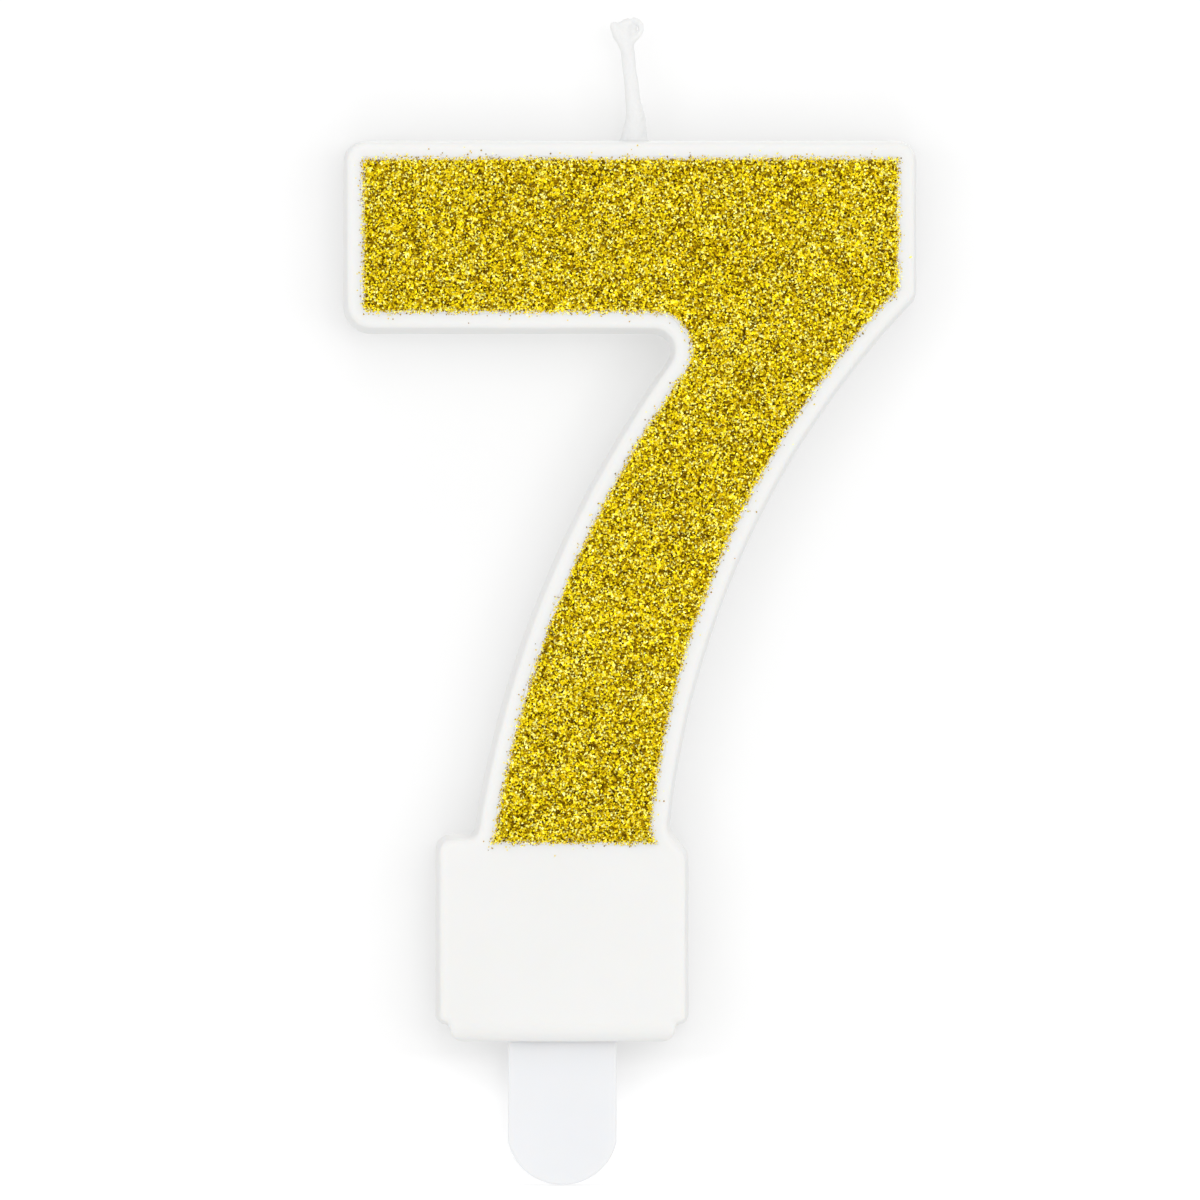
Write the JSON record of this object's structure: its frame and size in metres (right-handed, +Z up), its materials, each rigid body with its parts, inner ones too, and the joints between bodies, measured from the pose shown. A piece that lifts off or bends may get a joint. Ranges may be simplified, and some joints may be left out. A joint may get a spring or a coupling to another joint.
{
  "type": "number birthday candle",
  "caption": "Cast wax candle in the shape of the numeral seven on a block, with a gold glitter front, a cotton wick and a flat plastic pick that holds it up in a cake.",
  "frame": {"origin": "middle of the base's underside, where the pick enters and where the candle meets the top of the cake", "axes": "+Z up along the height of the numeral; the glittered front faces -Y and the flat back faces +Y; +X is to the right of a person in front"},
  "size_m": [0.0448, 0.0093, 0.0911],
  "materials": {
    "wax": "smooth white wax with a soft satin sheen, slightly translucent",
    "cotton": "white braided cotton, wax-soaked",
    "wick_wax": "thin lumpy white wax over the cotton",
    "adhesive": "clear dried glue with a warm tint",
    "glitter": "gold metallised film flakes lying at many angles",
    "pick_plastic": "translucent white moulded plastic"
  },
  "bodies": {
    "pick": {"pick": "pick_plastic"},
    "candle": {"wax_body": "wax", "wick_embedded": "cotton", "glitter_adhesive": "adhesive", "glitter_coat": "glitter"},
    "wick": {"wick_exposed": "cotton", "wick_wax_sleeve": "wick_wax"}
  },
  "joints": [
    {"name": "candle_lift", "type": "slide", "parent": "pick", "child": "candle", "axis": [0, 0, 1], "range_m": [0, 0.0125]},
    {"name": "wick_bend", "type": "hinge", "parent": "candle", "child": "wick", "pos_m": [0.0056, 0, 0.0713], "axis": [0, 1, 0], "range_deg": [-30, 30]}
  ]
}
